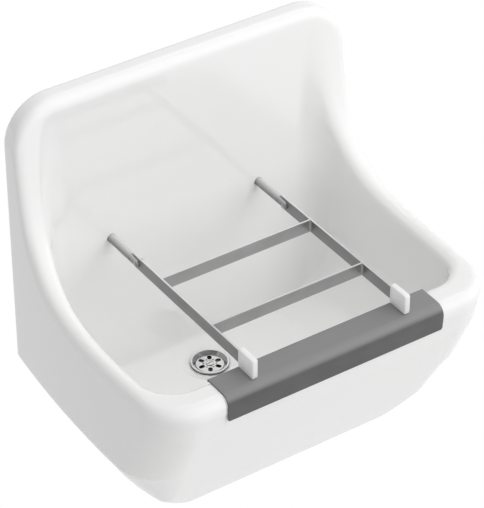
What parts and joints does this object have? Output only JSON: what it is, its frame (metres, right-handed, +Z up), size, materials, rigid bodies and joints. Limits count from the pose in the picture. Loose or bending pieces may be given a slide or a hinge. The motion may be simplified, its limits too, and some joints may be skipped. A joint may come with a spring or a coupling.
{
  "type": "wall-hung mop sink",
  "caption": "Wall-hung cleaner's sink: white fireclay basin with a high back, hinged flat-bar bucket grate, steel guard over the front rim and a strainer waste",
  "frame": {"origin": "on the wall face, midway between the two hanger brackets and at the height of the hinge rods", "axes": "+Z up, +Y into the wall, -Y out towards the user, +X to the right as the user faces the sink"},
  "size_m": [0.555, 0.4038, 0.568],
  "materials": {
    "glaze": "glossy white glaze",
    "guard_steel": "brushed stainless sheet",
    "sealant": "cured white compound",
    "rod_steel": "drawn stainless bar",
    "bar_steel": "brushed stainless flat bar",
    "pin_steel": "turned stainless",
    "zinc_plate": "zinc plated",
    "cap_plastic": "satin white moulding",
    "black_rubber": "matt black rubber",
    "waste_chrome": "polished",
    "grey_plastic": "moulded grey plastic"
  },
  "bodies": {
    "basin": {"ceramic_basin": "glaze", "edge_guard": "guard_steel", "guard_bedding": "sealant", "left_hinge_rod": "rod_steel", "right_hinge_rod": "rod_steel", "rod_bushes": "black_rubber", "rod_seals": "black_rubber", "rod_washers": "zinc_plate", "rod_nuts": "zinc_plate", "pivot_pins": "pin_steel", "pivot_washers": "pin_steel", "pivot_nuts": "pin_steel", "left_hanger": "zinc_plate", "right_hanger": "zinc_plate", "waste_flange": "waste_chrome", "flange_seal": "black_rubber", "strainer_plate": "waste_chrome", "strainer_screw": "waste_chrome", "underfloor_seal": "black_rubber", "waste_body": "grey_plastic"},
    "grate": {"left_side_bar": "bar_steel", "right_side_bar": "bar_steel", "front_cross_bar": "bar_steel", "rear_cross_bar": "bar_steel", "left_cap": "cap_plastic", "right_cap": "cap_plastic"}
  },
  "joints": [
    {"name": "grate_fold", "type": "hinge", "parent": "basin", "child": "grate", "pos_m": [0, -0.1035, 0], "axis": [-1, 0, 0], "range_deg": [0, 100]}
  ]
}
